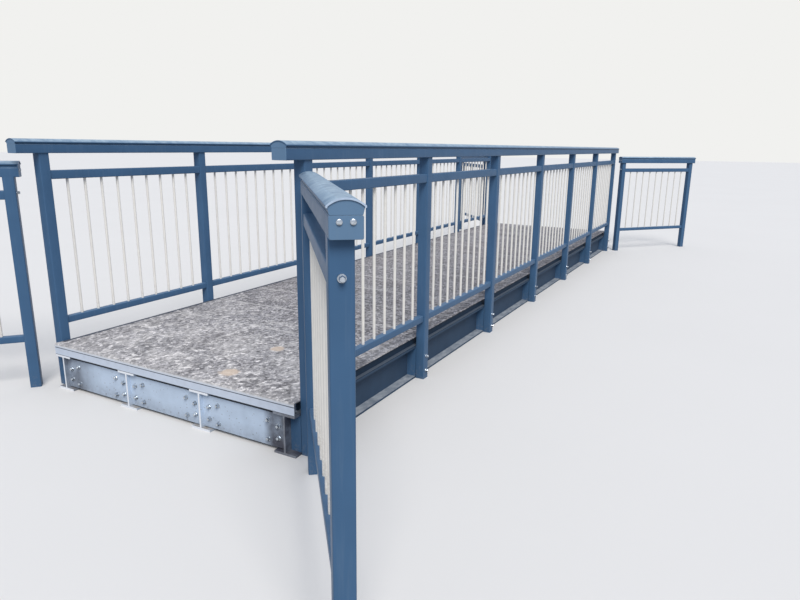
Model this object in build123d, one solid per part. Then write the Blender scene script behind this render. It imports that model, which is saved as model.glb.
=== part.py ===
from build123d import *
import os

# Pultruded glass-fibre footbridge with railings and four flared approach railings.
# X runs along the bridge, Y across it, and Z = 0 is the level its beams and posts stand on.

# Deck and bays
DECK_WIDTH = 1800.0
BAY_LENGTH = 1200.0
BAY_COUNT = 6
END_MARGIN = 46.0
DECK_DEPTH = 66.0
DECK_SKIN = 6.0
DECK_CELL = 86.0
DECK_RIB = 6.0
PANEL_PITCH = 450.0
PANEL_JOINT = 3.0
PANELS_PER_NODE = 3

# Beams of I section
BEAM_HEIGHT = 216.0
BEAM_FLANGE = 130.0
FLANGE_THICKNESS = 12.0
WEB_THICKNESS = 10.0

# Cross members of channel section, and the angle cleats behind them
CROSS_HEIGHT = 178.0
CROSS_THICKNESS = 8.0
CROSS_FLANGE = 45.0
CROSS_CLEARANCE = 0.3
CROSS_SETBACK = 21.0
CLEAT_LEG = 132.0
CLEAT_REACH = 90.0
CLEAT_THICKNESS = 10.0
CLEAT_HEIGHT = 156.0

# Trims round the deck
NOSING_DEPTH = 52.0
NOSING_THICKNESS = 6.0
NOSING_GROOVE = 3.0
NOSING_BAND = 22.0
TRIM_FLANGE = 30.0
TRIM_THICKNESS = 5.0

# Posts
POST_SIZE = 60.0
POST_WALL = 6.0
POST_CORNER = 4.0

# Railings
LOWER_RAIL_SIZE = 40.0
UPPER_RAIL_SIZE = 50.0
RAIL_WALL = 4.0
RAIL_CORNER = 3.0
LOWER_RAIL_HEIGHT = 100.0
UPPER_RAIL_HEIGHT = 965.0
BALUSTER_DIAMETER = 16.0
BALUSTER_SIDES = 8
BALUSTER_COUNT = 9
BALUSTER_EMBED = 2.0

# Handrail
HANDRAIL_HEIGHT = 1112.0
HANDRAIL_BODY = 76.0
HANDRAIL_BODY_TOP = 49.0
HANDRAIL_NECK = 68.0
HANDRAIL_LIP = 88.0
HANDRAIL_RISE = 80.0
LIP_UNDERSIDE = 56.0
LIP_EDGE = 7.0
HANDRAIL_WALL = 4.0
HANDRAIL_OVERHANG = 90.0
CAP_THICKNESS = 6.0

# Approach railings
WING_LENGTH = 1366.0
WING_ANGLE = 39.9
WING_GAP_ACROSS = 118.0
WING_POST_SETBACK = 30.0
WING_HANDRAIL_HEIGHT = 982.0
WING_UPPER_RAIL_HEIGHT = 853.0
WING_LOWER_RAIL_HEIGHT = 5.0

# Lines that follow from the sizes above
DECK_LENGTH = BAY_COUNT * BAY_LENGTH + POST_SIZE + 2 * END_MARGIN
DECK_TOP = BEAM_HEIGHT + DECK_DEPTH
HALF_LENGTH = DECK_LENGTH / 2
HALF_WIDTH = DECK_WIDTH / 2
OUTER_BEAM_LINE = HALF_WIDTH - BEAM_FLANGE / 2
INNER_BEAM_LINE = OUTER_BEAM_LINE / 3
POST_LINE = HALF_WIDTH + POST_SIZE / 2
BEAM_LINES = [-OUTER_BEAM_LINE, -INNER_BEAM_LINE, INNER_BEAM_LINE, OUTER_BEAM_LINE]
POST_STATIONS = [(index - BAY_COUNT / 2) * BAY_LENGTH for index in range(BAY_COUNT + 1)]
SIDES = {"left": 1, "right": -1}
ENDS = {"front": -1, "back": 1}


def rail_plane(x, y, z):
    """Section plane at a point, facing along the bridge, with its own up kept upward."""
    return Plane(origin=(x, y, z), x_dir=(0, 1, 0), z_dir=(1, 0, 0))


def write_node(name, solids):
    """Write one named sub-part, made of one solid or of several that stand apart."""
    shape = solids[0] if len(solids) == 1 else Compound(children=solids)
    export_step(shape, f"parts/{name}.step")


def beam(line):
    """Longitudinal beam of I section at one line across the bridge."""
    with BuildPart() as part:
        with BuildSketch(rail_plane(-HALF_LENGTH, line, 0)):
            for foot in (0, BEAM_HEIGHT - FLANGE_THICKNESS):
                with Locations((0, foot + FLANGE_THICKNESS / 2)):
                    Rectangle(BEAM_FLANGE, FLANGE_THICKNESS)
            with Locations((0, BEAM_HEIGHT / 2)):
                Rectangle(WEB_THICKNESS, BEAM_HEIGHT)
        extrude(amount=DECK_LENGTH)
    return part.part


def cross_member(x, facing, between):
    """Channel across two neighbouring beams, its web at x and its flanges turned inward."""
    low, high = between
    length = high - low - WEB_THICKNESS - 2 * CROSS_CLEARANCE
    middle = (low + high) / 2
    with BuildPart() as part:
        with Locations((x - facing * CROSS_THICKNESS / 2, middle, BEAM_HEIGHT / 2)):
            Box(CROSS_THICKNESS, length, CROSS_HEIGHT)
        for level in (-1, 1):
            z = BEAM_HEIGHT / 2 + level * (CROSS_HEIGHT - CROSS_THICKNESS) / 2
            with Locations((x - facing * CROSS_FLANGE / 2, middle, z)):
                Box(CROSS_FLANGE, length, CROSS_THICKNESS)
    return part.part


def cross_row(x, facing):
    """The three channels that stand in one line across the bridge."""
    return [cross_member(x, facing, pair) for pair in zip(BEAM_LINES, BEAM_LINES[1:])]


def cleat(x, facing, line, toward):
    """Angle inside a channel whose outer face is at x, that ties it to one side of a beam's web."""
    web_face = line + toward * WEB_THICKNESS / 2
    back = x - facing * CROSS_THICKNESS
    middle = BEAM_HEIGHT / 2
    with BuildPart() as part:
        with Locations((back - facing * CLEAT_THICKNESS / 2, web_face + toward * CLEAT_LEG / 2, middle)):
            Box(CLEAT_THICKNESS, CLEAT_LEG, CLEAT_HEIGHT)
        with Locations((back - facing * CLEAT_REACH / 2, web_face + toward * CLEAT_THICKNESS / 2, middle)):
            Box(CLEAT_REACH, CLEAT_THICKNESS, CLEAT_HEIGHT)
    return part.part


def cleat_row(x, facing):
    """Cleats of one row: two on each inner beam and one inside each outer beam."""
    cleats = []
    for low, high in zip(BEAM_LINES, BEAM_LINES[1:]):
        cleats.append(cleat(x, facing, low, 1))
        cleats.append(cleat(x, facing, high, -1))
    return cleats


def deck_panel(index):
    """Hollow deck panel of the row laid from the front end, with its cells running across."""
    joints = [-HALF_LENGTH + step * PANEL_PITCH for step in (index, index + 1)]
    start = max(joints[0] + PANEL_JOINT / 2, NOSING_DEPTH - HALF_LENGTH)
    finish = min(joints[1] - PANEL_JOINT / 2, HALF_LENGTH - NOSING_DEPTH)
    length = finish - start
    width = DECK_WIDTH - 2 * TRIM_FLANGE
    centre = (start + finish) / 2
    cell_count = max(1, round((length - DECK_RIB) / (DECK_CELL + DECK_RIB)))
    cell = (length - DECK_RIB) / cell_count - DECK_RIB
    with BuildPart() as part:
        with BuildSketch(Plane.XZ.offset(-width / 2)):
            with Locations((centre, BEAM_HEIGHT + DECK_DEPTH / 2)):
                Rectangle(length, DECK_DEPTH)
                with GridLocations(cell + DECK_RIB, 0, cell_count, 1):
                    Rectangle(cell, DECK_DEPTH - 2 * DECK_SKIN, mode=Mode.SUBTRACT)
        extrude(amount=width)
    return part.part


def nosing(facing):
    """Edge profile across the deck end, with a fine groove under the top band of its face."""
    inner = NOSING_DEPTH - NOSING_THICKNESS
    with BuildPart() as part:
        with BuildSketch(Plane.XZ.offset(-HALF_WIDTH)):
            with Locations((facing * (HALF_LENGTH - NOSING_DEPTH / 2), BEAM_HEIGHT + DECK_DEPTH / 2)):
                Rectangle(NOSING_DEPTH, DECK_DEPTH)
                with Locations((-facing * NOSING_THICKNESS / 2, 0)):
                    Rectangle(inner, DECK_DEPTH - 2 * NOSING_THICKNESS, mode=Mode.SUBTRACT)
                with Locations((facing * (NOSING_DEPTH - NOSING_GROOVE) / 2, DECK_DEPTH / 2 - NOSING_BAND)):
                    Rectangle(NOSING_GROOVE, NOSING_GROOVE, mode=Mode.SUBTRACT)
        extrude(amount=DECK_WIDTH)
    return part.part


def edge_trim(side):
    """Channel whose web closes the panels' cells along one side, with its two lips turned outward."""
    length = DECK_LENGTH - 2 * NOSING_DEPTH
    face = side * HALF_WIDTH
    with BuildPart() as part:
        with BuildSketch(rail_plane(-length / 2, face - side * TRIM_FLANGE / 2, BEAM_HEIGHT)):
            with Locations((0, DECK_DEPTH / 2)):
                Rectangle(TRIM_FLANGE, DECK_DEPTH)
            with Locations((side * TRIM_THICKNESS / 2, DECK_DEPTH / 2)):
                Rectangle(
                    TRIM_FLANGE - TRIM_THICKNESS,
                    DECK_DEPTH - 2 * TRIM_THICKNESS,
                    mode=Mode.SUBTRACT,
                )
        extrude(amount=length)
    return part.part


def square_tube(size, wall, corner, plane, length):
    """Square tube with bevelled outer corners, extruded from its section plane."""
    with BuildPart() as part:
        with BuildSketch(plane) as section:
            Rectangle(size, size)
            chamfer(section.vertices(), corner)
            Rectangle(size - 2 * wall, size - 2 * wall, mode=Mode.SUBTRACT)
        extrude(amount=length)
    return part.part


def post(x, y, top, foot=0.0):
    """Post of square tube from its foot to the underside of the handrail."""
    return square_tube(POST_SIZE, POST_WALL, POST_CORNER, Plane(origin=(x, y, foot)), top - foot)


def post_spacer(x, side):
    """Short tube that fills the beam's outer recess behind a post."""
    depth = (BEAM_FLANGE - WEB_THICKNESS) / 2
    height = BEAM_HEIGHT - 2 * FLANGE_THICKNESS
    with BuildPart() as part:
        with BuildSketch(Plane.XY.offset(FLANGE_THICKNESS)):
            with Locations((x, side * (HALF_WIDTH - depth / 2))):
                Rectangle(POST_SIZE, depth)
                Rectangle(POST_SIZE - 2 * POST_WALL, depth - 2 * POST_WALL, mode=Mode.SUBTRACT)
        extrude(amount=height)
    return part.part


def rail(start, length, underside, size):
    """Square rail tube along X on the line Y = 0."""
    plane = rail_plane(start, 0, underside + size / 2)
    return square_tube(size, RAIL_WALL, RAIL_CORNER, plane, length)


def railing(start, length, lower, upper):
    """One railing panel: a lower and an upper tube joined by evenly spaced balusters."""
    foot = lower + LOWER_RAIL_SIZE - BALUSTER_EMBED
    height = upper + BALUSTER_EMBED - foot
    pitch = length / (BALUSTER_COUNT + 1)
    section = RegularPolygon(BALUSTER_DIAMETER / 2, BALUSTER_SIDES)
    rods = [
        extrude(Pos(start + (index + 1) * pitch, 0, foot) * section, amount=height)
        for index in range(BALUSTER_COUNT)
    ]
    lower_rail = rail(start, length, lower, LOWER_RAIL_SIZE)
    upper_rail = rail(start, length, upper, UPPER_RAIL_SIZE)
    return lower_rail.fuse(upper_rail, *rods)


def handrail_outline():
    """Outer outline of the handrail: a flat-sided body, a neck, and an arched top with two lips."""
    half_body = HANDRAIL_BODY / 2
    half_neck = HANDRAIL_NECK / 2
    half_lip = HANDRAIL_LIP / 2
    spring = LIP_UNDERSIDE + LIP_EDGE
    with BuildSketch() as sketch:
        with BuildLine():
            Polyline(
                (-half_lip, spring),
                (-half_lip, LIP_UNDERSIDE),
                (-half_neck, LIP_UNDERSIDE),
                (-half_neck, HANDRAIL_BODY_TOP),
                (-half_body, HANDRAIL_BODY_TOP),
                (-half_body, 0),
                (half_body, 0),
                (half_body, HANDRAIL_BODY_TOP),
                (half_neck, HANDRAIL_BODY_TOP),
                (half_neck, LIP_UNDERSIDE),
                (half_lip, LIP_UNDERSIDE),
                (half_lip, spring),
            )
            ThreePointArc((half_lip, spring), (0, HANDRAIL_RISE), (-half_lip, spring))
        make_face()
    return sketch.sketch


def handrail_cavity():
    """Hollow inside the handrail, at its wall thickness from the body, the neck and the arch."""
    half_body = HANDRAIL_BODY / 2 - HANDRAIL_WALL
    half_neck = HANDRAIL_NECK / 2 - HANDRAIL_WALL
    shoulder = HANDRAIL_BODY_TOP - HANDRAIL_WALL
    spring = LIP_UNDERSIDE + HANDRAIL_WALL
    with BuildSketch() as sketch:
        with BuildLine():
            Polyline(
                (-half_neck, spring),
                (-half_neck, shoulder),
                (-half_body, shoulder),
                (-half_body, HANDRAIL_WALL),
                (half_body, HANDRAIL_WALL),
                (half_body, shoulder),
                (half_neck, shoulder),
                (half_neck, spring),
            )
            ThreePointArc((half_neck, spring), (0, HANDRAIL_RISE - HANDRAIL_WALL), (-half_neck, spring))
        make_face()
    return sketch.sketch


def handrail(start, length, height):
    """Hollow handrail between its two end caps, along X on the line Y = 0."""
    section = handrail_outline() - handrail_cavity()
    place = rail_plane(start + CAP_THICKNESS, 0, height)
    return extrude(place * section, amount=length - 2 * CAP_THICKNESS)


def handrail_caps(start, length, height):
    """Flat plates that close the two ends of a handrail."""
    outline = handrail_outline()
    return [
        extrude(rail_plane(x, 0, height) * outline, amount=CAP_THICKNESS)
        for x in (start, start + length - CAP_THICKNESS)
    ]


def wing_place(end, side):
    """Position of an approach railing: its bridge end beside the corner post, flared outward."""
    heading = 180 - WING_ANGLE if end < 0 else WING_ANGLE
    return Location(
        (end * HALF_LENGTH, side * (HALF_WIDTH + WING_GAP_ACROSS), 0),
        (0, 0, side * heading),
    )


os.makedirs("parts", exist_ok=True)

beam_names = ["girder_right", "beam_inner_right", "beam_inner_left", "girder_left"]
for name, line in zip(beam_names, BEAM_LINES):
    write_node(name, [beam(line)])

cleats = []
frames = []
inner_row = abs(POST_STATIONS[BAY_COUNT // 3])
for name, facing in ENDS.items():
    end_row = HALF_LENGTH - CROSS_SETBACK
    write_node(f"cross_plates_{name}", cross_row(facing * end_row, facing))
    write_node(f"nosing_{name}", [nosing(facing)])
    frames += cross_row(facing * inner_row, facing)
    for row in (end_row, inner_row):
        cleats += cleat_row(facing * row, facing)
write_node("cross_frames", frames)
write_node("angle_cleats", cleats)

panel_count = int((DECK_LENGTH - NOSING_DEPTH - DECK_RIB) // PANEL_PITCH) + 1
for group in range(0, panel_count, PANELS_PER_NODE):
    members = range(group, min(group + PANELS_PER_NODE, panel_count))
    write_node(f"deck_panels_{group // PANELS_PER_NODE + 1}", [deck_panel(index) for index in members])
write_node("edge_trims", [edge_trim(side) for side in SIDES.values()])

rail_start = -HALF_LENGTH - HANDRAIL_OVERHANG
rail_length = DECK_LENGTH + 2 * HANDRAIL_OVERHANG
caps = []
for name, side in SIDES.items():
    line = Pos(0, side * POST_LINE, 0)
    top = DECK_TOP + HANDRAIL_HEIGHT
    write_node(f"posts_{name}", [post(x, side * POST_LINE, top) for x in POST_STATIONS])
    write_node(f"handrail_{name}", [line * handrail(rail_start, rail_length, top)])
    caps += [line * cap for cap in handrail_caps(rail_start, rail_length, top)]
    for index, x in enumerate(POST_STATIONS[:-1]):
        panel = railing(
            x + POST_SIZE / 2,
            BAY_LENGTH - POST_SIZE,
            DECK_TOP + LOWER_RAIL_HEIGHT,
            DECK_TOP + UPPER_RAIL_HEIGHT,
        )
        write_node(f"railing_{name}_{index + 1}", [line * panel])
write_node("post_spacers", [post_spacer(x, side) for side in SIDES.values() for x in POST_STATIONS])

wing_posts = [WING_POST_SETBACK + POST_SIZE / 2, WING_LENGTH - WING_POST_SETBACK - POST_SIZE / 2]
wing_clear = wing_posts[1] - wing_posts[0] - POST_SIZE
wing_top = DECK_TOP + WING_HANDRAIL_HEIGHT
wing_offset = (HANDRAIL_BODY - POST_SIZE) / 2
for end_name, end in ENDS.items():
    standing = []
    for side_name, side in SIDES.items():
        place = wing_place(end, side)
        walkway_line = -end * side * wing_offset
        name = f"wing_{end_name}_{side_name}"
        standing += [place * post(x, walkway_line, wing_top) for x in wing_posts]
        write_node(f"{name}_handrail", [place * handrail(0, WING_LENGTH, wing_top)])
        caps += [place * cap for cap in handrail_caps(0, WING_LENGTH, wing_top)]
        panel = railing(
            wing_posts[0] + POST_SIZE / 2,
            wing_clear,
            DECK_TOP + WING_LOWER_RAIL_HEIGHT,
            DECK_TOP + WING_UPPER_RAIL_HEIGHT,
        )
        write_node(f"{name}_railing", [place * Pos(0, walkway_line, 0) * panel])
    write_node(f"wing_posts_{end_name}", standing)
write_node("handrail_end_caps", caps)
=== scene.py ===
"""Finish of a footbridge of pultruded glass-fibre profiles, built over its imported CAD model.

X runs along the bridge, Y across it towards its left railing, and Z up from the floor.
All lengths are in metres.
"""

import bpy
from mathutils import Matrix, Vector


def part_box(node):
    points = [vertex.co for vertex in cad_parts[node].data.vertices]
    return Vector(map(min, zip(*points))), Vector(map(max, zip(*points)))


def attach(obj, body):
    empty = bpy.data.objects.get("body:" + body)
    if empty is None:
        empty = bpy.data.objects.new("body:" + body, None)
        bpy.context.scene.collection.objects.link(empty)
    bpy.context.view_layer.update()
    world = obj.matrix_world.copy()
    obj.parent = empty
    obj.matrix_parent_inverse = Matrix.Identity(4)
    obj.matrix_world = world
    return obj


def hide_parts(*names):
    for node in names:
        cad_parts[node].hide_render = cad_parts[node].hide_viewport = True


bl_info = {
    "name": "Glass-fibre footbridge",
    "version": (1, 0, 0),
    "blender": (4, 5, 0),
    "location": "View3D > Sidebar > Footbridge",
    "description": "Builds the visible pieces, finishes and studio of a pultruded glass-fibre footbridge",
    "category": "Object",
}

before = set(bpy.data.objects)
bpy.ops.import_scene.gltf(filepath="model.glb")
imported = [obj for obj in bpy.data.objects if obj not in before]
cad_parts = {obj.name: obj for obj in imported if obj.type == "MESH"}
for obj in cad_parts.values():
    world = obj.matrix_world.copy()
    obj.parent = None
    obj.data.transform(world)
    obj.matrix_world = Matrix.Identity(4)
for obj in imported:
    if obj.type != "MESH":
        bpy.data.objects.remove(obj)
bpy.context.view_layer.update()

import math
import random
from types import SimpleNamespace

import bmesh
import bpy
from mathutils import Matrix, Vector

MM = 0.001

# Levels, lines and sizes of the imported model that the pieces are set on, and where the beams' paint starts
DECK_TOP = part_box("deck_panels_1")[1].z
DECK_END = -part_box("nosing_front")[0].x
DECK_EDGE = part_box("edge_trims")[1].y
POST_LINE = DECK_EDGE + (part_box("posts_left")[1].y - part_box("posts_left")[0].y) / 2
FIRST_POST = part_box("posts_left")[0].x
HANDRAIL_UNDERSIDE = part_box("handrail_left")[0].z
CAP_THICKNESS = 6 * MM
HANDRAIL_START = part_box("handrail_left")[0].x - CAP_THICKNESS
WING_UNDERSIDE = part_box("wing_front_left_handrail")[0].z
PANEL_PITCH = 0.450
PAINT_LINE = DECK_EDGE - 0.064

# Bolts: reach from the beam's web and level of those on a cleat, and the others' levels
CLEAT_BOLTS = ((0.049, 0.136), (0.049, 0.070), (0.112, 0.155), (0.113, 0.054))
POST_BOLT_LEVELS = (0.151, 0.055)
APPROACH_BOLT_LEVEL = WING_UNDERSIDE - 0.092
CAP_SCREW_LEVEL = 0.035
CAP_SCREW_REACH = 0.015
BOLT_JITTER = 0.002
BOLT_SEED = 6363

# Camera of the photograph, and the side that its soft light comes from
CAMERA_PLACE = (-5.8269, -2.6231, 1.4559)
CAMERA_YAW = 0.4969
CAMERA_PITCH = 0.2416
CAMERA_ROLL = 0.0122
CAMERA_LENS = 28.07
LIGHT_FROM = (-0.52, -0.43, 0.74)

# Kinds of node that the materials use most, and the Mix node's inputs for colours
BUMP = "ShaderNodeBump"
MATH = "ShaderNodeMath"
MIX = "ShaderNodeMix"
NOISE = "ShaderNodeTexNoise"
RANGE = "ShaderNodeMapRange"
VORONOI = "ShaderNodeTexVoronoi"
SHARE, UNDER, OVER = 0, 6, 7


def linear(code):
    """Linear colour with alpha from an sRGB hex code."""
    channels = [int(code[place:place + 2], 16) / 255 for place in (1, 3, 5)]
    return [c / 12.92 if c <= 0.04045 else ((c + 0.055) / 1.055) ** 2.4 for c in channels] + [1.0]


def length(name, description, default):
    """Length property of a settings group, in metres."""
    return bpy.props.FloatProperty(
        name=name, description=description, default=default, min=0.0, unit="LENGTH", precision=4
    )


def count(name, description, default):
    """Whole-number property of a settings group."""
    return bpy.props.IntProperty(name=name, description=description, default=default, min=1)


def colour(name, description, code):
    """Colour property of a settings group, from an sRGB hex code."""
    return bpy.props.FloatVectorProperty(
        name=name, description=description, default=linear(code), size=4, subtype="COLOR", min=0.0, max=1.0
    )


class FootbridgeRailing(bpy.types.PropertyGroup):
    """Sizes of the posts, rails and balusters."""

    bay_count: count("Bays", "Railing bays on each side", 6)
    bay_length: length("Bay length", "Distance between the centres of two posts", 1.2)
    post_size: length("Post size", "Outer width of a post", 0.060)
    post_wall: length("Post wall", "Wall thickness of a post", 0.006)
    post_corner: length("Post corner", "Radius of a post's outer corners", 0.005)
    upper_rail: length("Upper rail", "Outer width of the upper rail", 0.050)
    lower_rail: length("Lower rail", "Outer width of the lower rail", 0.040)
    rail_wall: length("Rail wall", "Wall thickness of both rails", 0.004)
    rail_corner: length("Rail corner", "Radius of the rails' outer corners", 0.004)
    baluster_count: count("Balusters", "Balusters in one bay", 9)
    baluster_diameter: length("Baluster diameter", "Diameter of a baluster", 0.016)


class FootbridgeHandrail(bpy.types.PropertyGroup):
    """Section of the handrail."""

    body_width: length("Body width", "Width of the square body", 0.076)
    body_corner: length("Body corner", "Radius of the body's corners", 0.004)
    body_top: length("Body top", "Height of the square body", 0.049)
    neck_width: length("Neck width", "Width of the neck between the body and the arched top", 0.068)
    lip_width: length("Lip width", "Width of the arched top over its two lips", 0.088)
    lip_underside: length("Lip underside", "Height of the lips above the handrail's underside", 0.058)
    lip_edge: length("Lip edge", "Height of a lip's outer edge", 0.005)
    lip_corner: length("Lip corner", "Radius of the lips' outer corners", 0.0018)
    rise: length("Rise", "Height of the arch's crown above the underside", 0.080)
    crown_wall: length("Arch wall", "Wall thickness of the arched top", 0.004)
    rim: length("Rim", "Depth of the pale cut edge of the arched top", 0.0012)
    cap_recess: length("Cap recess", "Depth that an end cap stands behind the arch's end", 0.003)


class FootbridgeApproach(bpy.types.PropertyGroup):
    """Place and size of the four flared approach railings."""

    length: length("Length", "Length of an approach railing's handrail", 1.366)
    gap_across: length("Gap", "Distance from the deck's edge to the handrail's near end", 0.118)
    setback: length("Post setback", "Distance from the handrail's end to its post", 0.030)
    offset: length(
        "Post offset", "Distance of the posts and rails from the handrail's line, to the walkway", 0.008
    )
    arch_lift: length("Arch lift", "Added height of the arch over that of the bridge's handrail", 0.0065)
    body_drop: length("Body drop", "Added depth of the body under that of the bridge's handrail", 0.0034)
    angle: bpy.props.FloatProperty(
        name="Flare",
        description="Angle to the bridge's long axis",
        default=math.radians(39.9),
        subtype="ANGLE",
    )


class FootbridgeFasteners(bpy.types.PropertyGroup):
    """Sizes of the bolts and their washers."""

    plate_head: length("Plate bolt head", "Width of the bolt heads on the end plates", 0.019)
    plate_washer: length("Plate washer", "Diameter of the washers on the end plates", 0.026)
    post_head: length("Post bolt head", "Width of the bolt heads through the posts", 0.017)
    post_washer: length("Post washer", "Diameter of the washers on the posts", 0.0225)
    cap_head: length("Cap screw head", "Diameter of the round heads on the handrail's end caps", 0.0135)


class FootbridgeFinish(bpy.types.PropertyGroup):
    """Colours of the bridge's materials."""

    paint: colour("Paint", "Blue-grey paint of the posts, rails and outer beams", "#446485")
    profile: colour("Bare profile", "Pale blue-grey of the unpainted structural profiles", "#c1d1e4")
    nosing: colour("Nosing", "Pale grey of the deck's end profile", "#d0d9e7")
    baluster: colour("Balusters", "Ivory of the balusters", "#f3efe7")
    grit: colour("Grit", "Mean grey of the gritted deck", "#868385")
    dust: colour("Dust", "Dried pale dust on the deck", "#cbc6c3")
    soil: colour("Soil", "Greyish soil on flanges and feet", "#9b9288")
    cut: colour("Cut ends", "Pale bare glass and resin of the beams' cut ends", "#f0f3f8")
    steel: colour("Bolts", "Galvanised steel of the bolts", "#c6cdd4")


# Materials


def add(tree, kind, inputs=None, output=None, **settings):
    """Add one node with its settings, set or link its inputs, and return the named or the first output."""
    made = tree.nodes.new(kind)
    for name, value in settings.items():
        setattr(made, name, value)
    for key, value in (inputs or {}).items():
        sources = value if isinstance(value, tuple) else (value,)
        if isinstance(sources[0], bpy.types.NodeSocket):
            for source in sources:
                tree.links.new(source, made.inputs[key])
        else:
            made.inputs[key].default_value = value
    if output:
        return made.outputs[output]
    return next((socket for socket in made.outputs if socket.enabled), None)


def per_size(millimetres):
    """Pattern scale for features of one real size."""
    return 1000.0 / millimetres


def pattern(surface, kind, millimetres, **inputs):
    """Texture on the piece's own coordinates, with features of one real size."""
    return add(surface.tree, kind, {"Vector": surface.place, "Scale": per_size(millimetres), **inputs})


def scaled(tone, factor):
    """Opaque colour, brighter or darker by a factor."""
    return [min(1.0, c * factor) for c in tone[:3]] + [1.0]


def meeting(tree, *shares):
    """Where all the shares meet: their product, as one socket.

    A share is a socket, or a tuple: a socket, the level where its share starts, the level where it is full,
    and the most and the least that it gives, which are 1 and 0 where they are left out.
    """
    whole = None
    for share in shares:
        if isinstance(share, tuple):
            value, low, high, most, least = share + (1.0, 0.0)[len(share) - 3:]
            levels = {"From Min": low, "From Max": high, "To Min": least, "To Max": most}
            share = add(tree, RANGE, {"Value": value, **levels})
        whole = add(tree, MATH, {0: whole, 1: share}, operation="MULTIPLY") if whole else share
    return whole


def laid(tree, under, tone, *shares):
    """Colour with another tone laid over it where all the shares meet."""
    return add(tree, MIX, {SHARE: meeting(tree, *shares), UNDER: under, OVER: tone}, data_type="RGBA")


def coat(surface, tone, *shares):
    """Lay one more tone over the surface, where all the shares meet."""
    surface.tone = laid(surface.tree, surface.tone, tone, *shares)


def new_material(name):
    """Surface to be patterned: its material and tree, and the sockets that most patterns start from."""
    material = bpy.data.materials.new(name)
    material.use_nodes = True
    tree = material.node_tree
    tree.nodes.clear()
    place = add(tree, "ShaderNodeTexCoord", output="Object")
    normal = add(tree, "ShaderNodeNewGeometry", output="Normal")
    axes = add(tree, "ShaderNodeSeparateXYZ", {"Vector": place}).node.outputs
    facing = add(tree, "ShaderNodeSeparateXYZ", {"Vector": normal}).node.outputs
    return SimpleNamespace(material=material, tree=tree, place=place, axes=axes, facing=facing)


def close_material(surface):
    """Put the surface's tone, and the other patterns and numbers of its look, on the shader."""
    shader = add(surface.tree, "ShaderNodeBsdfPrincipled", {"Base Color": surface.tone, **surface.look})
    add(surface.tree, "ShaderNodeOutputMaterial", {"Surface": shader})
    return surface.material


def painted_profile(name, finish, paint, dust):
    """Polyurethane paint on pultruded polyester: satin, a little uneven, with soil at the foot.

    The dust is the share of the pale film on faces that look up, which is dust and painted reflection of the
    sky.
    """
    surface = new_material(name)
    tree = surface.tree
    # Slow change of tone over a hand's width, as on sprayed profiles
    cloud = pattern(surface, NOISE, 140, Detail=4.0)
    surface.tone = laid(tree, scaled(paint, 0.88), scaled(paint, 1.13), cloud)
    # Rain runs: narrow across, long upward
    stretched = add(tree, "ShaderNodeMapping", {"Vector": surface.place, "Scale": (1.0, 1.0, 0.06)})
    runs = pattern(surface, NOISE, 16, Vector=stretched, Detail=3.0)
    coat(surface, linear("#7b8c9c"), (runs, 0.55, 0.8, 0.14))
    # Pale film where a face looks up: dust, and painted reflection of the sky
    film = pattern(surface, NOISE, 45, Detail=5.0, Roughness=0.65)
    upward = (surface.facing["Z"], 0.45, 0.95, dust)
    coat(surface, linear("#acc0cd"), upward, (film, 0.3, 0.7, 1.0, 0.35))
    # Soil splashed up from the ground, thinning out over the lowest 120 mm
    splash = pattern(surface, NOISE, 18, Detail=6.0, Roughness=0.7)
    low = (surface.axes["Z"], 0.12, 0.0, 0.35)
    coat(surface, finish.soil, low, (splash, 0.5, 0.68))
    # Slight waviness of the pultruded wall, and the spray's fine peel
    peel = pattern(surface, NOISE, 3, Detail=2.0)
    wave = pattern(surface, NOISE, 60, Detail=1.0)
    fine = add(tree, BUMP, {"Height": peel, "Strength": 0.12, "Distance": 0.3 * MM})
    bump = add(tree, BUMP, {"Height": wave, "Strength": 0.35, "Distance": 0.8 * MM, "Normal": fine})
    rough = meeting(tree, (film, 0.0, 1.0, 0.5, 0.3))
    surface.look = {"Roughness": rough, "Normal": bump, "IOR": 1.5, "Specular IOR Level": 0.15}
    return close_material(surface)


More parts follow.
